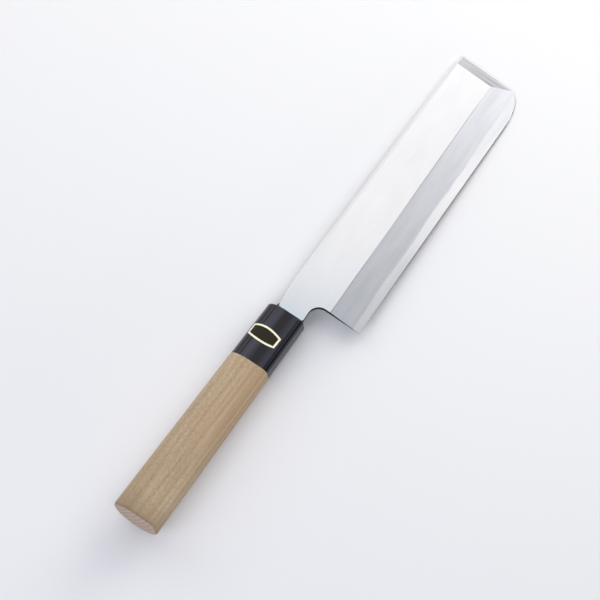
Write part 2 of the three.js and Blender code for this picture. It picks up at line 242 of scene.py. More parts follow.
@dataclass(frozen=True)
class GroundSteel(Finish):
    """Steel or iron ground on a stone or belt: fine parallel scratches over a cloudy sheen."""

    light: str = "#d9dadc"
    dark: str = "#d0d1d4"
    cloud: Size = (60.0, 6.0, 6.0)
    scratch: Size = (25.0, 0.5, 0.5)  # coarser than real ones, so that they show
    tones: Span = (0.7, 1.3)  # sum of clouds and scratches, from dark to light
    unevenness: float = 0.06  # share of the roughness that the scratches take or give
    depth: float = 0.001
    haze_and_painted_shading: str = ""  # painted shading: the colour that the finish fades to at the ferrule
    painted_shading_end: float = 70.0  # along the blade, where the painted shading ends
    painted_shading_fall: float = 3.0  # the power by which the painted shading fades

    def draw(self, look: Dressing) -> None:
        """Draws clouds and scratches, and painted shading towards the ferrule where the finish has it.

        Args:
            look: The material in the making.
        """
        cloud_place = look.add("Mapping", {"Vector": look.place, "Scale": per_mm(*self.cloud)})
        cloud = look.add("TexNoise", {"Vector": cloud_place, "Scale": 1.0, "Detail": 2.0})
        scratch_place = look.add("Mapping", {"Vector": look.place, "Scale": per_mm(*self.scratch)})
        scratch = look.add("TexNoise", {"Vector": scratch_place, "Scale": 1.0, "Detail": 1.0})
        both = look.add("Math", {0: scratch, 1: cloud}, operation="ADD")
        level = look.add("MapRange", dict(zip(RANGE, (both, *self.tones))))
        metal = look.add("ValToRGB", {"Fac": level}, [(0.0, self.dark), (1.0, self.light)])
        colour = metal.outputs["Color"]
        # Painted shading: near the ferrule the colour turns towards another one.
        if self.haze_and_painted_shading:
            place = look.add("SeparateXYZ", {"Vector": look.place})
            row = (place.outputs["X"], 0.0, self.painted_shading_end, 1.0, 0.0)
            near = look.add("MapRange", dict(zip(RANGE, row)))
            share = look.add("Math", {0: near, 1: self.painted_shading_fall}, operation="POWER")
            painted_neck_shading = look.add("Mix", {0: share, MIX_A: colour, MIX_B: linear(self.haze_and_painted_shading)}, data_type="RGBA")
            colour = painted_neck_shading.outputs[MIX_OUT]
        spread = self.unevenness * self.roughness
        ends = (self.roughness - spread, self.roughness + spread)
        uneven = look.add("MapRange", dict(zip(RANGE, (scratch, *NOISE_SPAN, *ends))))
        surface = {"Base Color": colour, "Roughness": uneven, "Metallic": 1.0}
        look.feed(surface, scratch, self.depth)


@dataclass(frozen=True)
class KasumiBevel(Finish):
    """The bevel as a natural stone leaves it: misty grey iron, and clear bright steel below the weld,
    with painted shade on the steel at the heel and the tip and along the shinogi.
    """

    roughness: float = 0.38  # of the iron
    steel_roughness: float = 0.4
    iron: Tones = ("#c7c9d2", "#d3d5dc")
    steel: Tones = ("#e2e2e8", "#eaeaef")
    mist: Size = (5.0, 1.2, 1.2)  # wisps along the weld
    cloud: Size = (24.0, 3.5, 3.5)
    scratch: Size = (18.0, 0.4, 0.4)  # coarser than real ones, so that they show
    scratch_share: float = 0.4
    tones: Span = (0.45, 0.95)  # sum of clouds and scratches, from dark to light
    depth: float = 0.0005
    back: float = -1.5  # height of the blade's back
    front: float = 1.5  # height of its flat
    weld: float = 0.87  # weld above the back, at the ferrule's mouth
    weld_rise: float = 0.23 / 164.8  # from the mouth to the tip
    wave: float = 0.04
    wave_length: float = 52.0
    wave_start: float = 22.0
    wander: float = 8.0  # how far the wisps move the weld, in the units of soft
    weld_span: Span = (3.2, 4.8)  # from steel to iron, in the same units
    soft: float = 0.025  # half of the mist's depth at the weld, measured up from the back
    tip_soft: float = 0.14  # the same at the tip
    soften: Span = (125.0, 160.0)  # along the blade, where the weld blurs
    heel_painted_shade: float = 0.4  # painted shade: share of the iron's colour that the steel takes at the heel
    clear: Span = (52.0, 72.0)  # along the blade, where the painted shade at the heel fades out
    tip_painted_shade: float = 0.8  # painted shade: the same share at the tip
    tip_shade_span: Span = (105.0, 150.0)  # along the blade, where the painted shade at the tip sets in
    ridge: Span = (0.07, 0.021)  # below the shinogi, where its painted shade line begins and is full
    # Painted shade: a dark line along the shinogi.
    ridge_shade_colour: str = "#55565c"
    ridge_shade_reach: float = 165.0  # along the blade, where the next list's places reach 1
    ridge_shade_fade: Stops = (  # how strong the painted shade line along the shinogi is
        (0.26, "#cbcbcb"),
        (0.32, "#000000"),
        (0.44, "#000000"),
        (0.56, "#cbcbcb"),
        (0.86, "#cbcbcb"),
        (0.92, "#000000"),
    )

    def draw(self, look: Dressing) -> None:
        """Draws the two tones, the waving weld between them, painted shade on the steel at the heel and
        the tip, and a painted shade line along the shinogi.

        Args:
            look: The material in the making.
        """
        mist, cloud, scratch = (
            look.add(
                "TexNoise",
                {
                    "Vector": look.add("Mapping", {"Vector": look.place, "Scale": per_mm(*size)}),
                    "Scale": 1.0,
                    "Detail": detail,
                },
            )
            for size, detail in ((self.mist, 2.0), (self.cloud, 2.0), (self.scratch, 1.0))
        )
        place = look.add("SeparateXYZ", {"Vector": look.place})
        along, height = place.outputs["X"], place.outputs["Z"]
        # The second and third rows mask the painted shade on the steel at the heel and the tip; the last
        # row is the band of the painted shade line below the shinogi.
        soft, heel, tip, ridge_shade_band = (
            look.add("MapRange", dict(zip(RANGE, row)))
            for row in (
                (along, *self.soften, self.soft, self.tip_soft),
                (along, *self.clear, self.heel_painted_shade, 0.0),
                (along, *self.tip_shade_span, 0.0, self.tip_painted_shade),
                (height, *(self.front - depth for depth in self.ridge)),
            )
        )
        turn = 2 * math.pi / self.wave_length
        phase = look.add(
            "Math", {0: along, 1: turn, 2: -self.wave_start * turn}, operation="MULTIPLY_ADD"
        )
        swing = look.add("Math", {0: phase}, operation="SINE")
        rise = look.add(
            "Math", {0: along, 1: self.weld_rise, 2: self.back + self.weld}, operation="MULTIPLY_ADD"
        )
        weld = look.add("Math", {0: swing, 1: self.wave, 2: rise}, operation="MULTIPLY_ADD")
        above = look.add("Math", {0: height, 1: weld}, operation="SUBTRACT")
        steps = look.add("Math", {0: above, 1: soft}, operation="DIVIDE")
        wisps = look.add("Math", {0: mist, 1: self.wander, 2: steps}, operation="MULTIPLY_ADD")
        iron_share = look.add(
            "MapRange", dict(zip(RANGE, (wisps, *self.weld_span))), interpolation_type="SMOOTHSTEP"
        )
        # Painted shade: towards the heel and the tip, the steel takes the iron's darker colour.
        ends = look.add("Math", {0: heel, 1: tip}, operation="MAXIMUM")
        mist_and_painted_shade = look.add("Math", {0: iron_share, 1: ends}, operation="MAXIMUM")
        both = look.add("Math", {0: scratch, 1: self.scratch_share, 2: cloud}, operation="MULTIPLY_ADD")
        level = look.add("MapRange", dict(zip(RANGE, (both, *self.tones))))
        steel, iron = (
            look.add("ValToRGB", {"Fac": level}, [(0.0, dark), (1.0, light)])
            for dark, light in (self.steel, self.iron)
        )
        ground = look.add("Mix", {0: mist_and_painted_shade, MIX_A: steel, MIX_B: iron}, data_type="RGBA")
        # Painted shade: a dark line just below the shinogi, fading along the blade.
        share = look.add("Math", {0: along, 1: self.ridge_shade_reach}, operation="DIVIDE")
        line = look.add("ValToRGB", {"Fac": share}, self.ridge_shade_fade)
        painted_ridge_shade = look.add("Math", {0: ridge_shade_band, 1: line}, operation="MULTIPLY")
        colour = look.add(
            "Mix",
            {0: painted_ridge_shade, MIX_A: ground.outputs[MIX_OUT], MIX_B: linear(self.ridge_shade_colour)},
            data_type="RGBA",
        )
        haze_and_painted_shading = look.add(
            "MapRange", {"Value": mist_and_painted_shade, "To Min": self.steel_roughness, "To Max": self.roughness}
        )
        surface = {"Base Color": colour.outputs[MIX_OUT], "Roughness": haze_and_painted_shading, "Metallic": 1.0}
        look.feed(surface, scratch, self.depth)


@dataclass(frozen=True)
class RingedWood(Finish):
    """Wood with growth rings round a pith that lies outside the handle."""

    ring_spacing: float = 2.6
    ring_wander: float = 2.0
    ring_ripple: float = 0.3
    pith: tuple[float, float] = (51.0, 26.0)  # across and above the handle's axis

    def rings(self, look: Dressing) -> bpy.types.Node:
        """Draws the growth rings.

        Args:
            look: The material in the making.

        Returns:
            The rings, from 0 to 1.
        """
        from_pith = look.add(
            "Mapping", {"Vector": look.place, "Location": (0.0, -self.pith[0], -self.pith[1])}
        )
        return look.add(
            "TexWave",
            {
                "Vector": from_pith,
                "Scale": WAVE_PERIOD / self.ring_spacing,
                "Distortion": self.ring_wander,
                "Detail": 2.0,
                "Detail Scale": self.ring_ripple,
            },
            wave_type="RINGS",
            rings_direction="X",
        )


@dataclass(frozen=True)
class HoWood(RingedWood):
    """Ho, a magnolia wood: pale tan, fine and even, with short flecks and faint greenish streaks, and
    painted shade on the grip's edge side.
    """

    roughness: float = 0.6
    specular: float = 0.2  # bare wood hardly shines
    grain: Stops = (  # sum of the patterns by the next weights, from dark to light
        (0.375, "#9a8469"),
        (0.565, "#b29c80"),
        (0.775, "#c5af93"),
    )
    ring_weight: float = 0.08
    board_weight: float = 0.5
    fibre_weight: float = 0.55
    board: Size = (80.0, 5.0, 5.0)  # broad bands
    fibre: Size = (1.5, 0.36, 0.36)
    streak: Size = (70.0, 1.6, 1.6)
    fleck: Size = (1.0, 0.42, 0.42)
    # Painted shade: the edge side of the grip's front half is darker.
    side_shade_colour: str = "#a78b6d"
    side_shade_across: Span = (3.0, -5.0)  # across, from none of the painted shade to most
    side_shade_reach: Span = (-110.0, -60.0)  # along, from none of it to most
    side_shade_most: float = 0.75
    streak_colour: str = "#c2ae92"
    streak_at: Span = (0.5, 0.7)  # noise at which a streak begins and is full
    streak_most: float = 0.5
    fleck_colour: str = "#917a5e"
    fleck_at: Span = (0.55, 0.75)
    fleck_most: float = 0.4
    butt_darkening_colour: str = "#8d765d"
    butt_darkening_span: Span = (-114.0, -126.0)  # along, where the wood darkens towards the butt
    butt_darkening_most: float = 0.5
    depth: float = 0.015

    def draw(self, look: Dressing) -> None:
        """Draws the bare sanded wood, layer on layer.

        Args:
            look: The material in the making.
        """
        place = look.add("SeparateXYZ", {"Vector": look.place})
        along, across = place.outputs["X"], place.outputs["Y"]
        board, fibre, streak, fleck = (
            look.add(
                "TexNoise",
                {
                    "Vector": look.add("Mapping", {"Vector": look.place, "Scale": per_mm(*size)}),
                    "Scale": 1.0,
                    "Detail": detail,
                },
            )
            for size, detail in (
                (self.board, 2.0),
                (self.fibre, 1.0),
                (self.streak, 1.0),
                (self.fleck, 0.0),
            )
        )
        level = look.add("Math", {0: board, 1: self.board_weight}, operation="MULTIPLY")
        for pattern, weight in ((fibre, self.fibre_weight), (self.rings(look), self.ring_weight)):
            level = look.add("Math", {0: pattern, 1: weight, 2: level}, operation="MULTIPLY_ADD")
        side, reach, streaked, flecked, butt_darkening = (
            look.add("MapRange", dict(zip(RANGE, row)))
            for row in (
                (across, *self.side_shade_across, 0.0, self.side_shade_most),
                (along, *self.side_shade_reach),
                (streak, *self.streak_at, 0.0, self.streak_most),
                (fleck, *self.fleck_at, 0.0, self.fleck_most),
                (along, *self.butt_darkening_span, 0.0, self.butt_darkening_most),
            )
        )
        # Painted shade on the grip's edge side, towards the front.
        painted_side_shade = look.add("Math", {0: side, 1: reach}, operation="MULTIPLY")
        colour = look.add("ValToRGB", {"Fac": level}, self.grain).outputs["Color"]
        for share, tone in (
            (painted_side_shade, self.side_shade_colour),
            (streaked, self.streak_colour),
            (flecked, self.fleck_colour),
            (butt_darkening, self.butt_darkening_colour),
        ):
            layer = look.add("Mix", {0: share, MIX_A: colour, MIX_B: linear(tone)}, data_type="RGBA")
            colour = layer.outputs[MIX_OUT]
        surface = {"Base Color": colour, "Specular IOR Level": self.specular}
        look.feed(surface, fibre, self.depth)


@dataclass(frozen=True)
class EndGrain(RingedWood):
    """Ho sawn across: greyer than along the grain, matt, with growth rings as faint arcs."""

    roughness: float = 0.7
    ring_wander: float = 1.5
    ring_ripple: float = 0.4
    ring_weight: float = 0.2
    grain: Stops = ((0.35, "#ac937f"), (0.85, "#d8c3ae"))  # sum of rings and pores
    pore: Size = (0.5, 0.5, 0.5)
    depth: float = 0.04

    def draw(self, look: Dressing) -> None:
        """Draws the sawn end.

        Args:
            look: The material in the making.
        """
        pore_place = look.add("Mapping", {"Vector": look.place, "Scale": per_mm(*self.pore)})
        pores = look.add("TexNoise", {"Vector": pore_place, "Scale": 1.0, "Detail": 2.0})
        level = look.add(
            "Math", {0: self.rings(look), 1: self.ring_weight, 2: pores}, operation="MULTIPLY_ADD"
        )
        wood = look.add("ValToRGB", {"Fac": level}, self.grain)
        look.feed({"Base Color": wood}, pores, self.depth)


@dataclass(frozen=True)
class BuffaloHorn(Finish):
    """Polished black buffalo horn: nearly black, with soft grey fibres along it, pale bands that are
    partly painted highlight, and a clear shine.
    """

    roughness: float = 0.15
    ior: float = 1.36
    grain: Stops = ((0.4, "#050513"), (1.0, "#363543"))  # sum of bands and fibres
    band_spacing: float = 9.5
    band_wander: float = 0.6
    band_ripple: float = 0.2
    band_phase: float = 1.16  # puts the palest band, a painted highlight streak, a little to the spine's side
    painted_light_side: Span = (-11.0, 8.0)  # painted light: across, from the shaded to the lit side
    painted_light_share: Span = (0.35, 1.0)  # how much of the bands shows there, as painted light
    fibre: Size = (90.0, 3.2, 3.2)
    fibre_weight: float = 0.5
    polish: Size = (30.0, 0.6, 0.6)  # marks of the buff
    polish_share: Span = (0.8, 1.25)  # of the plain roughness, from clear to dull
    depth: float = 0.004

    def draw(self, look: Dressing) -> None:
        """Draws the horn's bands, partly painted highlight, its fibres and the marks of the buff.

        Args:
            look: The material in the making.
        """
        fibre_place = look.add("Mapping", {"Vector": look.place, "Scale": per_mm(*self.fibre)})
        fibres = look.add("TexNoise", {"Vector": fibre_place, "Scale": 1.0, "Detail": 2.0})
        polish_place = look.add("Mapping", {"Vector": look.place, "Scale": per_mm(*self.polish)})
        polish = look.add("TexNoise", {"Vector": polish_place, "Scale": 1.0, "Detail": 1.0})
        bands = look.add(
            "TexWave",
            {
                "Vector": look.place,
                "Scale": WAVE_PERIOD / self.band_spacing,
                "Distortion": self.band_wander,
                "Detail": 1.0,
                "Detail Scale": self.band_ripple,
                "Phase Offset": self.band_phase,
            },
            wave_type="BANDS",
            bands_direction="Y",
        )
        place = look.add("SeparateXYZ", {"Vector": look.place})
        dulled = (share * self.roughness for share in self.polish_share)
        side, uneven = (
            look.add("MapRange", dict(zip(RANGE, row)))
            for row in (
                (place.outputs["Y"], *self.painted_light_side, *self.painted_light_share),
                (polish, *NOISE_SPAN, *dulled),
            )
        )
        # Painted light: more of the pale bands show on the spine's side.
        bands_and_painted_light = look.add("Math", {0: bands, 1: side}, operation="MULTIPLY")
        streaked = look.add(
            "Math", {0: fibres, 1: self.fibre_weight, 2: bands_and_painted_light}, operation="MULTIPLY_ADD"
        )
        horn = look.add("ValToRGB", {"Fac": streaked}, self.grain)
        surface = {"Base Color": horn, "Roughness": uneven, "IOR": self.ior}
        look.feed(surface, polish, self.depth)


@dataclass(frozen=True)
class Coat(Finish):
    """A printed, moulded or oxidised surface: one colour with a fine mottle."""

    light: str
    dark: str
    metallic: float = 0.0
    ior: float = 1.5
    mottle: Size = (0.8, 0.8, 0.8)
    tones: Span = (0.35, 0.65)  # noise from dark to light
    depth: float = 0.01

    def draw(self, look: Dressing) -> None:
        """Draws the mottle.

        Args:
            look: The material in the making.
        """
        mottle_place = look.add("Mapping", {"Vector": look.place, "Scale": per_mm(*self.mottle)})
        mottle = look.add("TexNoise", {"Vector": mottle_place, "Scale": 1.0, "Detail": 2.0})
        tone = look.add("ValToRGB", {"Fac": mottle}, zip(self.tones, (self.dark, self.light)))
        surface = {"Base Color": tone, "Metallic": self.metallic, "IOR": self.ior}
        look.feed(surface, mottle, self.depth)


# The flat: soft iron buffed along the blade, which mirrors the room as a bright, slightly misty sheet.
SATIN_IRON = GroundSteel(
    "satin_polished_iron",
    0.3,
    light="#e0e0e5",
    dark="#dadadf",
    cloud=(22.0, 9.0, 9.0),
    scratch=(14.0, 0.5, 0.5),
    unevenness=0.03,
    depth=0.0004,
    # Painted shade: the flat turns blue-grey towards the ferrule.
    haze_and_painted_shading="#c2cad4",
    painted_shading_end=88.0,
)
# The eased spine, from a file and a belt: a little duller than the flat.
SPINE_IRON = GroundSteel("filed_iron", 0.6, light="#e0e0e3", dark="#d7d7db")
# The bevel's two halves share one stone, which leaves the iron misty and the steel clear.
BEVEL_IRON = KasumiBevel("kasumi_ground_iron")
BEVEL_STEEL = KasumiBevel("kasumi_ground_steel")
# The fine second bevel, off a fine stone: it leans away from the light, and its thin grey line is
# painted shade; towards the heel it turns pale, which is painted light.
EDGE_STEEL_PAINTED_GREY = GroundSteel(
    "whetted_edge_steel",
    0.45,
    light="#96979c",
    dark="#88898f",
    haze_and_painted_shading="#f0f0f4",
    painted_shading_end=90.0,
)
# The tip's facet, off a belt: scratches across the blade that show as fine lines.
FACET_IRON = GroundSteel(
    "belt_ground_iron",
    0.5,
    light="#acacb2",
    dark="#797980",
    cloud=(20.0, 40.0, 40.0),
    scratch=(1.2, 30.0, 30.0),
)
# Walls left from the forge, under dark scale, made darker still as painted shade.
FORGE_SCALE_AND_PAINTED_SHADE = Coat("forge_scale_and_painted_shade", 0.6, "#17181c", "#0c0d10", metallic=0.3)
# The hollow back and its flat rim, off the wheel and the stone.
HOLLOW_STEEL = GroundSteel("hollow_ground_steel", 0.3, scratch=(0.6, 14.0, 14.0))
RIM_STEEL = GroundSteel("stone_flattened_steel", 0.16, light="#cfd0d2", dark="#c7c8cb")
# The grip: planed, sanded and left bare, so it is matt and shows its short pores.
WOOD = HoWood("ho_wood_sanded")
# Its sawn butt: the open grain takes the light and shows the rings.
WOOD_END = EndGrain("ho_wood_end_grain")
# The ferrule: buffed horn, which mirrors the lamps; its soft pale bands on blue-black are partly painted
# highlight.
HORN = BuffaloHorn("buffalo_horn_polished")
# Sealing resin round the tang: dark and dull.
RESIN = Coat("dark_resin", 0.5, "#262321", "#1a1817")
# The label's border and field: printed foil under a thin lacquer.
GOLD = Coat("pale_gold_foil", 0.4, "#fbf6dc", "#f3ecca")
INK = Coat("olive_black_print", 0.55, "#25210f", "#1d190a", ior=1.3)


def clear_selection() -> None:
    """Leaves edit mode and deselects every object."""
    if bpy.context.mode != "OBJECT":
        bpy.ops.object.mode_set(mode="OBJECT")
    bpy.ops.object.select_all(action="DESELECT")


def take(piece: bpy.types.Object) -> None:
    """Makes a piece the only selected object, and the active one.

    Args:
        piece: The piece.
    """
    clear_selection()
    piece.select_set(True)
    bpy.context.view_layer.objects.active = piece


def edit_vertices(piece: bpy.types.Object, wanted: Callable[[Vector], bool]) -> None:
    """Enters edit mode with only the wanted vertices selected, and the edges and faces between them.

    Args:
        piece: The piece to edit.
        wanted: Says whether a vertex at a place is selected.
    """
    take(piece)
    bpy.ops.object.mode_set(mode="EDIT")
    bpy.ops.mesh.select_mode(type="VERT")
    bpy.ops.mesh.select_all(action="DESELECT")
    bpy.ops.object.mode_set(mode="OBJECT")
    for vertex in piece.data.vertices:
        vertex.select = wanted(vertex.co)
    bpy.ops.object.mode_set(mode="EDIT")


def apply_modifier(piece: bpy.types.Object, kind: str, **settings: Any) -> None:
    """Adds a modifier to a piece and applies it at once.

    Args:
        piece: The piece to change.
        kind: The modifier's type.
        settings: The modifier's properties.
    """
    take(piece)
    modifier = piece.modifiers.new(kind.title(), kind)
    for name, value in settings.items():
        setattr(modifier, name, value)
    bpy.ops.object.modifier_apply(modifier=modifier.name)


def join_or_cut(piece: bpy.types.Object, tool: bpy.types.Object, operation: str) -> None:
    """Joins a tool to a piece or cuts it away, and removes the tool.

    Args:
        piece: The piece to change.
        tool: A closed mesh.
        operation: "UNION" or "DIFFERENCE".
    """
    apply_modifier(piece, "BOOLEAN", object=tool, operation=operation, solver="EXACT")
    bpy.data.objects.remove(tool)


def shade(piece: bpy.types.Object, degrees: float) -> None:
    """Shades a piece smooth, with sharp edges above an angle."""
    take(piece)
    bpy.ops.object.shade_smooth_by_angle(angle=math.radians(degrees))


def place_piece(piece: bpy.types.Object, pose: KnifePose, slot: str, *nodes: str) -> None:
    """Moves a piece from the knife's millimetres to its place, where it stands for its nodes.

    Args:
        piece: A piece modelled in the knife's axes.
        pose: The knife's pose.
        slot: The record's material slot; not used.
        nodes: The solids that the piece replaces, if any.
    """
    piece.data.transform(pose.matrix)
    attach(piece, BODY)
    if nodes:
        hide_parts(*nodes)
    log.info("%s: %d faces", piece.name, len(piece.data.polygons))


class Facing(Enum):
    """Surfaces of the blade, told apart by the way they face. The value is the material index."""

    HIRA = 0
    SPINE = 1
    KIREHA = 2
    ITOBA = 3
    FACET = 4
    FORGED = 5
    HOLLOW = 6
    RIM = 7


@dataclass
class Blade:
    """The blade's two layers, forged together and ground."""

    pose: KnifePose
    wall: float = 0.3  # most upward share of a wall's normal
    steep: float = 0.3  # least sideways share of the second bevel's normal
    slant: float = 0.1  # least sideways share of any other ground bevel's normal
    flat: float = 0.002  # most sideways share of the rim's normal
    heel: float = 20.0  # along the blade, just ahead of the heel
    tip: float = 146.0  # along the blade, where the edge begins to curve up
    itoba: float = 0.3  # width of the second bevel round the tip
    edge_break: float = 0.12
    smooth_deg: float = 7.5
    merge: float = 1e-6
    sliver: float = 0.01

    def refine(self, node: bpy.types.Object, name: str) -> bpy.types.Object:
        """Copies a packed layer and joins its loose triangles.

        Args:
            node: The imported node's object.
            name: The new piece's name.

        Returns:
            The copy, in the knife's millimetres.
        """
        piece = bpy.data.objects.new(name, node.data.copy())
        bpy.context.scene.collection.objects.link(piece)
        take(piece)
        bpy.ops.mesh.customdata_custom_splitnormals_clear()
        bpy.ops.object.mode_set(mode="EDIT")
        bpy.ops.mesh.select_all(action="SELECT")
        bpy.ops.mesh.remove_doubles(threshold=self.merge)
        bpy.ops.object.mode_set(mode="OBJECT")
        piece.data.transform(self.pose.matrix.inverted())
        piece.data.materials.clear()
        return piece

    def facing(self, normal: Vector, along: float) -> Facing:
        """Tells which surface of the blade a face belongs to.

        Args:
            normal: The face's normal.
            along: Its place along X.

        Returns:
            The surface.
        """
        if normal.z < -self.wall:
            return Facing.RIM if normal.xy.length < self.flat else Facing.HOLLOW
        if normal.z < self.wall:
            if normal.y > abs(normal.x):
                return Facing.SPINE
            if along > self.heel and normal.y < -self.wall:
                return Facing.ITOBA
            return Facing.FACET if normal.x > self.wall else Facing.FORGED
        if normal.y < -self.slant:
            return Facing.ITOBA if normal.y < -self.steep else Facing.KIREHA
        if normal.y > self.slant:
            return Facing.SPINE
        return Facing.FACET if normal.x > self.slant else Facing.HIRA

    def sort_faces(self, piece: bpy.types.Object) -> None:
        """Gives every face the material index of its surface."""
        for polygon in piece.data.polygons:
            polygon.material_index = self.facing(polygon.normal, polygon.center.x).value

    def break_edges(
        self,
        piece: bpy.types.Object,
        wanted: Callable[[set[int], float], bool],
        width: float,
        segments: int,
        material: int,
    ) -> None:
        """Bevels some of a layer's arrises, and welds the slivers that this leaves.

        Args:
            piece: The layer.
            wanted: Says whether an edge is bevelled, from the material indices of its
                surfaces and its rear end's place along X.
            width: The bevel's width.
            segments: Its steps.
            material: The bevel's material index, or -1 for that of its neighbours.
        """
        sides: dict[tuple[int, int], set[int]] = {}
        for polygon in piece.data.polygons:
            for key in polygon.edge_keys:
                sides.setdefault(key, set()).add(polygon.material_index)
        weights = piece.data.attributes.new("bevel_weight_edge", "FLOAT", "EDGE")
        for edge in piece.data.edges:
            along = min(piece.data.vertices[index].co.x for index in edge.vertices)
            if wanted(sides[edge.key], along):
                weights.data[edge.index].value = 1.0
        apply_modifier(
            piece,
            "BEVEL",
            width=width,
            segments=segments,
            limit_method="WEIGHT",
            use_clamp_overlap=True,
            harden_normals=False,
            material=material,
        )
        bpy.ops.object.mode_set(mode="EDIT")
        bpy.ops.mesh.select_all(action="SELECT")
        bpy.ops.mesh.remove_doubles(threshold=self.sliver)
        bpy.ops.mesh.dissolve_degenerate(threshold=self.sliver)
        bpy.ops.object.mode_set(mode="OBJECT")

    def iron_arris(self, surfaces: set[int], along: float) -> bool:
        """Whether an edge of the iron is eased: all but the shinogi and those at the weld.

        Args:
            surfaces: Material indices of the edge's two faces.
            along: The place of its rear end, which doesn't matter here.

        Returns:
            True for an edge to ease.
        """
        crisp = {facing.value for facing in (Facing.RIM, Facing.HOLLOW, Facing.ITOBA)}
        shinogi = {Facing.HIRA.value, Facing.KIREHA.value}
        return len(surfaces) == 2 and not surfaces & crisp and surfaces != shinogi

    def tip_arris(self, surfaces: set[int], along: float) -> bool:
        """Whether the second bevel follows an edge of the steel round the tip.

        Args:
            surfaces: Material indices of the edge's two faces.
            along: The place of its rear end.

        Returns:
            True for an edge to bevel.
        """
        walls = {Facing.FACET.value, Facing.ITOBA.value}
        return along > self.tip and Facing.KIREHA.value in surfaces and bool(surfaces & walls)

    def build(self, nodes: dict[str, bpy.types.Object]) -> None:
        """Makes and dresses both layers.

        Args:
            nodes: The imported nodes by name.
        """
        jigane = self.refine(nodes["jigane_blade"], "jigane_body")
        self.sort_faces(jigane)
        self.break_edges(jigane, self.iron_arris, self.edge_break, segments=2, material=-1)
        hagane = self.refine(nodes["hagane_layer"], "hagane_edge")
        self.sort_faces(hagane)
        self.break_edges(hagane, self.tip_arris, self.itoba, segments=1, material=Facing.ITOBA.value)
        # In the order of Facing's values.
        finishes = (
            SATIN_IRON,
            SPINE_IRON,
            BEVEL_IRON,
            EDGE_STEEL_PAINTED_GREY,
            FACET_IRON,
            FORGE_SCALE_AND_PAINTED_SHADE,
            HOLLOW_STEEL,
            RIM_STEEL,
        )
        materials = [finish.dress(self.pose) for finish in finishes]
        bevels = {jigane.name: materials[Facing.KIREHA.value], hagane.name: BEVEL_STEEL.dress(self.pose)}
        for piece in (jigane, hagane):
            for index, material in enumerate(materials):
                bevel = index == Facing.KIREHA.value
                piece.data.materials.append(bevels[piece.name] if bevel else material)
            shade(piece, self.smooth_deg)
            apply_modifier(piece, "WEIGHTED_NORMAL", keep_sharp=True)
        place_piece(jigane, self.pose, "jigane_iron", "jigane_blade")
        place_piece(hagane, self.pose, "hagane_steel", "hagane_layer")


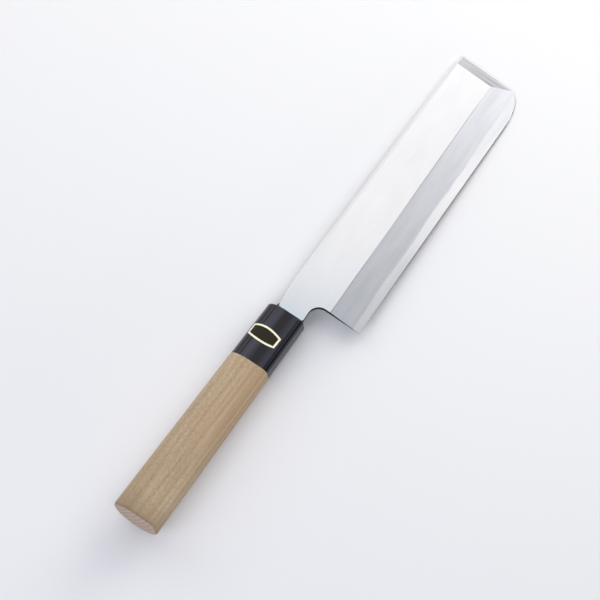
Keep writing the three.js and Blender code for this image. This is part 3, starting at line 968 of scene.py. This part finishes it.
@dataclass
class GripSection:
    """The D-shaped section that grip and ferrule share, widening from the mouth to the butt."""

    length: float = 127.0
    front_width: float = 21.5
    front_thickness: float = 18.0
    butt_width: float = 25.5
    butt_thickness: float = 21.2
    # The ridge's points, in half widths and half thicknesses.
    ridge_top: tuple[float, float] = (-0.62, 1.01)
    ridge_corner: tuple[float, float] = (-0.93, 1.02)
    ridge_side: tuple[float, float] = (-0.95, 0.5)
    oval_steps: int = 72
    curve_steps: int = 20
    rim_steps: int = 6
    rim_inset: float = 1.5  # ring inside an end's rim, in radii of its rounding
    near: float = 0.01  # how close a vertex counts as on a rim

    @property
    def sides(self) -> int:
        """How many points the outline has."""
        return self.oval_steps + 3 * self.curve_steps

    def size(self, station: float) -> tuple[float, float]:
        """The section's size at a station.

        Args:
            station: Place along X.

        Returns:
            Half width and half thickness.
        """
        share = -station / self.length
        width = self.front_width + (self.butt_width - self.front_width) * share
        thickness = self.front_thickness + (self.butt_thickness - self.front_thickness) * share
        return width / 2, thickness / 2

    def outline(self, station: float) -> list[Vector]:
        """The outline at a station: an oval, drawn out to a soft ridge on its edge side.

        Args:
            station: Place along X.

        Returns:
            Points in order round the section.
        """
        half_width, half_thickness = self.size(station)
        points = []
        # Three quarters of an oval, from the edge's side round the back and the spine's side.
        for step in range(self.oval_steps):
            angle = math.pi + 1.5 * math.pi * step / self.oval_steps
            points.append(Vector((math.cos(angle), math.sin(angle))))
        top, corner, side = (Vector(p) for p in (self.ridge_top, self.ridge_corner, self.ridge_side))
        for start, pull, end in (
            (Vector((0.0, 1.0)), Vector((top.x / 2, 1.0)), top),
            (top, corner, side),
            (side, Vector((-1.0, side.y / 2)), Vector((-1.0, 0.0))),
        ):
            for step in range(self.curve_steps):
                t = step / self.curve_steps
                points.append((1 - t) ** 2 * start + 2 * t * (1 - t) * pull + t * t * end)
        return [Vector((station, p.x * half_width, p.y * half_thickness)) for p in points]

    def bar(self, name: str, rear: float, front: float) -> bpy.types.Object:
        """A bar of this section between two stations.

        Args:
            name: The new object's name.
            rear: Station of its rear end.
            front: Station of its front end.

        Returns:
            The bar, in the knife's millimetres.
        """
        clear_selection()
        bpy.ops.mesh.primitive_circle_add(vertices=self.sides, radius=1.0, fill_type="NGON")
        piece = bpy.context.object
        piece.name = name
        for vertex, point in zip(piece.data.vertices, self.outline(rear)):
            vertex.co = point
        bpy.ops.object.mode_set(mode="EDIT")
        bpy.ops.mesh.select_all(action="SELECT")
        bpy.ops.mesh.extrude_region_move(TRANSFORM_OT_translate={"value": (front - rear, 0.0, 0.0)})
        (rear_y, rear_z), (front_y, front_z) = self.size(rear), self.size(front)
        bpy.ops.transform.resize(
            value=(1.0, front_y / rear_y, front_z / rear_z), center_override=(front, 0.0, 0.0)
        )
        bpy.ops.mesh.select_all(action="SELECT")
        bpy.ops.mesh.normals_make_consistent(inside=False)
        bpy.ops.object.mode_set(mode="OBJECT")
        return piece

    def ease(self, piece: bpy.types.Object, station: float, radius: float) -> None:
        """Rounds the rim of one end, after ringing its face so that the rounding stays at the rim.

        Args:
            piece: A bar of this section.
            station: Place of the end along X.
            radius: Radius of the rounding.
        """
        edit_vertices(piece, lambda place: abs(place.x - station) < self.near)
        bpy.ops.mesh.inset(thickness=radius * self.rim_inset)
        rim = self.outline(station)
        edit_vertices(piece, lambda place: min((place - point).length for point in rim) < self.near)
        bpy.ops.mesh.bevel(offset=radius, segments=self.rim_steps, profile=0.5, affect="EDGES")
        bpy.ops.object.mode_set(mode="OBJECT")


@dataclass
class Tang:
    """The space that the tang takes in handle and ferrule."""

    front: float = 2.0
    end: float = -91.0
    half_width: float = 5.1
    half_thickness: float = 1.49
    end_half_width: float = 2.5
    end_half_thickness: float = 0.9

    def space(self, rear: float, front: float, clearance: float) -> bpy.types.Object:
        """A tapered bar round the tang.

        Args:
            rear: Station of the rear end.
            front: Station of the front end.
            clearance: Room round the tang.

        Returns:
            The bar, for cutting.
        """
        clear_selection()
        bpy.ops.mesh.primitive_cube_add(size=2.0)
        bar = bpy.context.object
        for vertex in bar.data.vertices:
            station = front if vertex.co.x > 0 else rear
            share = (station - self.front) / (self.end - self.front)
            width = self.half_width + (self.end_half_width - self.half_width) * share + clearance
            taper = self.end_half_thickness - self.half_thickness
            thickness = self.half_thickness + taper * share + clearance
            vertex.co = (station, vertex.co.y * width, vertex.co.z * thickness)
        return bar


@dataclass
class Handle:
    """Wooden grip, horn ferrule and the label on it."""

    pose: KnifePose
    section: GripSection = field(default_factory=GripSection)
    tang: Tang = field(default_factory=Tang)
    ferrule_length: float = 31.7
    ferrule_front: float = 9.7  # horn ahead of the tenon
    ferrule_ease: float = 1.0
    butt_ease: float = 1.6
    bore_radius: float = 7.0
    slot_margin: float = 0.9
    socket_clearance: float = 0.3
    joint: float = 0.05
    overlap: float = 2.0  # how far a tool goes into or past what it joins or cuts
    round_steps: int = 64
    butt_facing: float = 0.9  # least rearward share of the butt's normal
    smooth_deg: float = 30.0

    def round_bar(self, radius: float, rear: float, front: float) -> bpy.types.Object:
        """A cylinder along X.

        Args:
            radius: Its radius.
            rear: Station of its rear end.
            front: Station of its front end.

        Returns:
            The cylinder, for joining or cutting.
        """
        clear_selection()
        bpy.ops.mesh.primitive_cylinder_add(
            vertices=self.round_steps,
            radius=radius,
            depth=front - rear,
            location=((front + rear) / 2, 0.0, 0.0),
            rotation=(0.0, math.pi / 2, 0.0),
        )
        return bpy.context.object

    def make_grip(self) -> bpy.types.Object:
        """Models and dresses the grip, with its tenon and the burnt-in socket.

        Returns:
            The grip, in the knife's millimetres.
        """
        shoulder = -self.ferrule_length - self.joint
        tenon_front = -self.ferrule_front - self.joint
        grip = self.section.bar("ho_grip", -self.section.length, shoulder)
        self.section.ease(grip, -self.section.length, self.butt_ease)
        tenon = self.round_bar(self.bore_radius - self.joint, shoulder - self.overlap, tenon_front)
        join_or_cut(grip, tenon, "UNION")
        rear = self.tang.end - self.socket_clearance
        socket = self.tang.space(rear, tenon_front + self.overlap, self.socket_clearance)
        join_or_cut(grip, socket, "DIFFERENCE")
        grip.data.materials.append(WOOD.dress(self.pose))
        grip.data.materials.append(WOOD_END.dress(self.pose))
        for polygon in grip.data.polygons:
            polygon.material_index = int(polygon.normal.x < -self.butt_facing)
        shade(grip, self.smooth_deg)
        return grip

    def make_ferrule(self) -> bpy.types.Object:
        """Models and dresses the ferrule, bored from behind and slotted in front.

        Returns:
            The ferrule, in the knife's millimetres.
        """
        ferrule = self.section.bar("horn_collar", -self.ferrule_length, 0.0)
        self.section.ease(ferrule, 0.0, self.ferrule_ease)
        behind = -self.ferrule_length - self.overlap
        bore = self.round_bar(self.bore_radius, behind, -self.ferrule_front)
        join_or_cut(ferrule, bore, "DIFFERENCE")
        clear_selection()
        bpy.ops.mesh.primitive_cube_add(size=2.0)
        slot = bpy.context.object
        reach = Vector(
            (
                self.ferrule_front + self.overlap,
                self.tang.half_width + self.slot_margin,
                self.tang.half_thickness + self.slot_margin,
            )
        )
        for vertex in slot.data.vertices:
            vertex.co = vertex.co * reach
        join_or_cut(ferrule, slot, "DIFFERENCE")
        ferrule.data.materials.append(HORN.dress(self.pose))
        shade(ferrule, self.smooth_deg)
        return ferrule

    def build(self) -> None:
        """Makes and dresses grip, ferrule and label."""
        grip = self.make_grip()
        ferrule = self.make_ferrule()
        label = Label().build(ferrule)
        for finish in (INK, GOLD):
            label.data.materials.append(finish.dress(self.pose))
        place_piece(grip, self.pose, "ho_wood", "wood_handle")
        place_piece(ferrule, self.pose, "black_horn", "horn_ferrule")
        place_piece(label, self.pose, "label_foil", "foil_label")


@dataclass
class Label:
    """Barrel-shaped foil label, bent round the ferrule, with a raised border."""

    width: float = 16.4
    height: float = 8.5
    bow: float = 1.4
    border: float = 0.95
    thickness: float = 0.14
    gap: float = 0.05
    emboss: float = 0.06
    lean_deg: float = 13.6
    turn_deg: float = -2.4
    behind_mouth: float = 16.8
    cells: int = 24
    hover: float = 30.0  # height from which the sheet is pressed down on the ferrule
    front_facing: float = 0.3  # least upward share of the front's normals
    smooth_deg: float = 35.0

    def spread(self, share: float, half: float) -> float:
        """Places a grid line so that the outermost cell is as wide as the border.

        Args:
            share: Grid place from -1 to 1.
            half: Half the label's size there.

        Returns:
            Millimetres from the label's middle.
        """
        inner = 1 - 2 / self.cells
        if abs(share) <= inner:
            return share / inner * (half - self.border)
        return math.copysign(half - self.border * (1 - abs(share)) * self.cells / 2, share)

    def sheet(self) -> bpy.types.Object:
        """Models the flat label above where it goes. Its outermost cells are the border.

        Returns:
            The sheet, in its own axes.
        """
        clear_selection()
        bpy.ops.mesh.primitive_grid_add(x_subdivisions=self.cells, y_subdivisions=self.cells, size=2.0)
        piece = bpy.context.object
        piece.name = "foil_label_sheet"
        for polygon in piece.data.polygons:
            reach = max(abs(polygon.center.x), abs(polygon.center.y))
            polygon.material_index = int(reach > 1 - 2 / self.cells)
        for vertex in piece.data.vertices:
            y = self.spread(vertex.co.y, self.width / 2)
            half_height = self.height / 2 - self.bow * (2 * y / self.width) ** 2
            vertex.co = Vector((self.spread(vertex.co.x, half_height), y, self.hover))
        return piece

    def build(self, ferrule: bpy.types.Object) -> bpy.types.Object:
        """Makes the label on the ferrule.

        Args:
            ferrule: The ferrule, in the knife's millimetres.

        Returns:
            The label, in the knife's millimetres.
        """
        piece = self.sheet()
        piece.matrix_world = (
            Matrix.Translation((-self.behind_mouth, 0.0, 0.0))
            @ Matrix.Rotation(-math.radians(self.lean_deg), 4, "X")
            @ Matrix.Rotation(math.radians(self.turn_deg), 4, "Z")
        )
        bpy.context.view_layer.update()
        apply_modifier(
            piece,
            "SHRINKWRAP",
            target=ferrule,
            wrap_method="PROJECT",
            use_project_z=True,
            use_positive_direction=False,
            use_negative_direction=True,
            offset=self.gap + self.thickness,
            wrap_mode="ABOVE_SURFACE",
        )
        piece.data.transform(piece.matrix_world)
        piece.matrix_world = Matrix.Identity(4)
        apply_modifier(piece, "SOLIDIFY", thickness=self.thickness, offset=-1.0)
        take(piece)
        for polygon in piece.data.polygons:
            on_border = polygon.material_index == 1
            polygon.select = on_border and polygon.normal.z > self.front_facing
        bpy.ops.object.mode_set(mode="EDIT")
        bpy.ops.mesh.select_mode(type="FACE")
        bpy.ops.mesh.extrude_region_shrink_fatten(TRANSFORM_OT_shrink_fatten={"value": self.emboss})
        bpy.ops.object.mode_set(mode="OBJECT")
        shade(piece, self.smooth_deg)
        return piece


@dataclass
class Seal:
    """Resin round the tang, and a small dark bead of it at each corner of the blade's neck."""

    pose: KnifePose
    reach: float = 1.3  # the beads' middles ahead of the mouth
    spine_corner: float = 6.6  # across, at the neck's two corners
    edge_corner: float = -8.0
    height: float = 0.9
    bead: Size = (2.0, 0.75, 1.1)  # half sizes
    taper: float = 0.35  # share by which a bead is slimmer in front and fatter behind
    segments: int = 24
    smooth_deg: float = 60.0

    def build(self, seal: bpy.types.Object) -> None:
        """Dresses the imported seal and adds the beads.

        Args:
            seal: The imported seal's object.
        """
        resin = RESIN.dress(self.pose)
        seal.data.materials.clear()
        seal.data.materials.append(resin)
        log.info("tang_seal: kept, with resin")
        for name, corner in (("spine_bead", self.spine_corner), ("edge_bead", self.edge_corner)):
            clear_selection()
            rings = self.segments // 2
            bpy.ops.mesh.primitive_uv_sphere_add(segments=self.segments, ring_count=rings, radius=1.0)
            piece = bpy.context.object
            piece.name = name
            middle = Vector((self.reach, corner, self.height))
            for vertex in piece.data.vertices:
                slim = 1.0 - self.taper * vertex.co.x
                vertex.co = middle + vertex.co * Vector(self.bead) * Vector((1.0, slim, slim))
            piece.data.materials.append(resin)
            shade(piece, self.smooth_deg)
            place_piece(piece, self.pose, "seal_resin")


# The near lamps stand for a window, and are a little bluer than the others.
DAYLIGHT = "#eff2ff"


@dataclass
class Softbox:
    """One soft lamp on a dome over the table, placed as the camera sees the stage."""

    name: str
    zenith_deg: float  # from straight overhead
    turn_deg: float  # from straight ahead, clockwise
    size: tuple[float, float]
    radiance: float
    colour: str = "#fffdf6"
    distance: float = 0.9

    def build(self, ahead: Vector, right: Vector) -> None:
        """Adds the lamp. An area lamp's power is pi times its area and radiance.

        Args:
            ahead: Direction on the table away from the camera.
            right: Direction on the table to the camera's right.
        """
        lamp = bpy.data.lights.new(self.name, "AREA")
        lamp.shape = "RECTANGLE"
        lamp.size, lamp.size_y = self.size
        lamp.energy = math.pi * self.size[0] * self.size[1] * self.radiance
        lamp.color = linear(self.colour)[:3]
        holder = bpy.data.objects.new(self.name, lamp)
        bpy.context.scene.collection.objects.link(holder)
        zenith, turn = math.radians(self.zenith_deg), math.radians(self.turn_deg)
        level = ahead * math.cos(turn) + right * math.sin(turn)
        towards = level * math.sin(zenith) + Vector((0.0, 0.0, math.cos(zenith)))
        holder.location = towards * self.distance
        holder.rotation_mode = "QUATERNION"
        holder.rotation_quaternion = (-towards).to_track_quat("-Z", "Y")
        holder.visible_camera = False


@dataclass
class Studio:
    """Table, light and camera."""

    azimuth_deg: float = -55.04
    tilt_deg: float = 17.5  # from straight down
    distance: float = 1.7738
    target: tuple[float, float, float] = (-0.0058, 0.01183, 0.0)
    focal_px: float = 3600.0
    table_size: float = 12.0
    table_colour: str = "#eeeef0"
    table_roughness: float = 0.9
    room: float = 0.18
    room_colour: str = "#dde5f7"
    lamps: tuple[Softbox, ...] = (
        Softbox("overhead_far_softbox", 24, 0, (0.38, 0.36), 1.25),
        Softbox("overhead_near_softbox", 24, 180, (0.38, 0.36), 2.45, DAYLIGHT),
        Softbox("overhead_left_softbox", 24, 300, (0.38, 0.36), 0.92),
        Softbox("far_softbox", 46, 0, (0.5, 0.36), 1.17),
        Softbox("far_right_softbox", 46, 45, (0.5, 0.36), 2.75),
        Softbox("right_softbox", 46, 90, (0.5, 0.36), 1.0),
        Softbox("near_left_softbox", 46, 225, (0.5, 0.36), 3.92, DAYLIGHT),
        Softbox("far_left_softbox", 46, 315, (0.5, 0.36), 1.44),
        Softbox("low_far_softbox", 68, 0, (0.65, 0.36), 1.2),
        Softbox("low_right_softbox", 68, 45, (0.65, 0.36), 4.9),
        Softbox("table_right_softbox", 81, 135, (0.7, 0.2), 3.8),
        Softbox("table_left_softbox", 81, 315, (0.7, 0.2), 2.0),
        Softbox("left_strip_softbox", 64, 318, (0.6, 0.14), 1.8),
    )

    def camera(self) -> None:
        """Adds the camera at the photograph's viewing angle."""
        azimuth, tilt = math.radians(self.azimuth_deg), math.radians(self.tilt_deg)
        back = Vector(
            (math.sin(azimuth) * math.sin(tilt), -math.cos(azimuth) * math.sin(tilt), math.cos(tilt))
        )
        lens = bpy.data.cameras.new("photo_camera")
        lens.sensor_width = SENSOR_MM
        lens.lens = self.focal_px / FRAME_PX * SENSOR_MM
        holder = bpy.data.objects.new("photo_camera", lens)
        bpy.context.scene.collection.objects.link(holder)
        holder.location = Vector(self.target) + back * self.distance
        holder.rotation_mode = "QUATERNION"
        holder.rotation_quaternion = (-back).to_track_quat("-Z", "Y")
        bpy.context.scene.camera = holder

    def table(self) -> None:
        """Adds the pale table."""
        clear_selection()
        bpy.ops.mesh.primitive_plane_add(size=self.table_size)
        table = bpy.context.object
        table.name = "table"
        # Matt paper: it takes the shadow softly and mirrors nothing.
        material = bpy.data.materials.new("matt_white_paper")
        material.use_nodes = True
        shader = material.node_tree.nodes["Principled BSDF"]
        shader.inputs["Base Color"].default_value = linear(self.table_colour)
        shader.inputs["Roughness"].default_value = self.table_roughness
        shader.inputs["Specular IOR Level"].default_value = 0.0
        table.data.materials.append(material)

    def light(self) -> None:
        """Adds the room's dim fill and the softboxes."""
        world = bpy.data.worlds.new("studio_room")
        world.use_nodes = True
        background = world.node_tree.nodes["Background"]
        background.inputs["Color"].default_value = linear(self.room_colour)
        background.inputs["Strength"].default_value = self.room
        bpy.context.scene.world = world
        azimuth = math.radians(self.azimuth_deg)
        ahead = Vector((-math.sin(azimuth), math.cos(azimuth), 0.0))
        right = Vector((math.cos(azimuth), math.sin(azimuth), 0.0))
        for lamp in self.lamps:
            lamp.build(ahead, right)

    def build(self) -> None:
        """Sets the stage."""
        bpy.context.scene.view_settings.view_transform = "Standard"
        self.table()
        self.light()
        self.camera()


def main() -> None:
    """Builds and dresses the knife, then sets the stage round it."""
    logging.basicConfig(level=logging.INFO, format="%(name)s: %(message)s")
    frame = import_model()
    section = GripSection()
    pose = KnifePose(frame["record"], section.length)
    Blade(pose).build(frame["nodes"])
    Handle(pose, section).build()
    Seal(pose).build(frame["nodes"]["tang_seal"])
    Studio().build()


if __name__ == "__main__":
    main()
